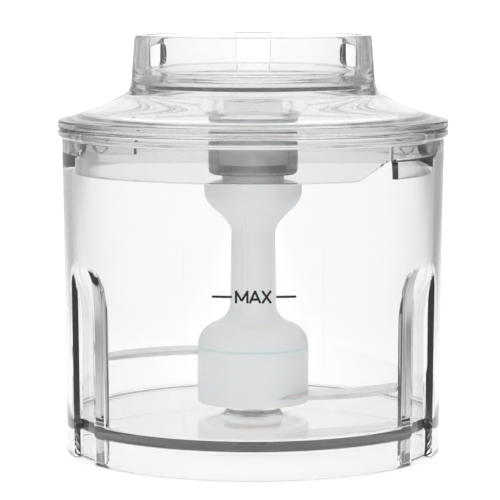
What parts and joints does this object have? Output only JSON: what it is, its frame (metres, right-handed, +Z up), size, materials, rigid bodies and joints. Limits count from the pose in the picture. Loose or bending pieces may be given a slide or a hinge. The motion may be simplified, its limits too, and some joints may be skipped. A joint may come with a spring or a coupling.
{
  "type": "food processor",
  "caption": "Clear chopper bowl with grip flutes, a clear bayonet lid whose collar takes a motor unit, and a two-level blade on a steel spindle.",
  "frame": {"origin": "on the axis, at the bottom of the bowl's foot", "axes": "+Z up the axis towards the collar; the front, with the fill mark, faces -Y; +X is to the right seen from the front"},
  "size_m": [0.11, 0.11, 0.1172],
  "materials": {
    "clear_bowl": "clear, polished",
    "clear_lid": "clear, polished",
    "clear_hub": "clear, polished",
    "smoke_plastic": "grey, translucent",
    "milky_plastic": "milky white, satin",
    "blade_steel": "ground, with a polished bevel",
    "steel": "turned",
    "bronze": "sintered bearing bronze",
    "silicone": "translucent silicone",
    "seal_rubber": "black rubber",
    "ink": "printed ink"
  },
  "bodies": {
    "bowl": {"bowl_shell": "clear_bowl", "bowl_spindle": "steel", "fill_mark": "ink"},
    "seal": {"lid_seal": "silicone"},
    "lid": {"lid_cover": "clear_lid", "lid_skirt": "clear_lid", "hub_housing": "clear_hub", "hub_sleeve": "smoke_plastic", "coupler_bush": "milky_plastic", "coupler_seal": "seal_rubber", "coupler_washer": "steel"},
    "coupler": {"drive_coupler": "smoke_plastic", "coupler_circlip": "steel", "drive_insert": "steel"},
    "washer": {"thrust_washer": "milky_plastic"},
    "blade": {"blade_shaft": "milky_plastic", "drive_spigot": "smoke_plastic", "blade_bell": "milky_plastic", "upper_blade": "blade_steel", "lower_blade": "blade_steel", "blade_spacer": "milky_plastic", "blade_retainer": "steel", "shaft_bush": "bronze"}
  },
  "joints": [
    {"name": "lid_lift", "type": "slide", "parent": "bowl", "child": "seal", "axis": [0, 0, 1], "range_m": [0, 0.12]},
    {"name": "lid_turn", "type": "hinge", "parent": "seal", "child": "lid", "pos_m": [0, 0, 0.0915], "axis": [0, 0, -1], "range_deg": [0, 16]},
    {"name": "coupler_spin", "type": "hinge", "parent": "seal", "child": "coupler", "pos_m": [0, 0, 0.085], "axis": [0, 0, 1], "continuous": true},
    {"name": "blade_lift", "type": "slide", "parent": "bowl", "child": "washer", "axis": [0, 0, 1], "range_m": [0, 0.0868]},
    {"name": "blade_spin", "type": "hinge", "parent": "washer", "child": "blade", "pos_m": [0, 0, 0.04], "axis": [0, 0, 1], "continuous": true}
  ],
  "couplings": [
    {"joint": "blade_lift", "follows": "lid_lift", "ratio": 0.72},
    {"joint": "coupler_spin", "follows": "blade_spin", "ratio": 1}
  ]
}
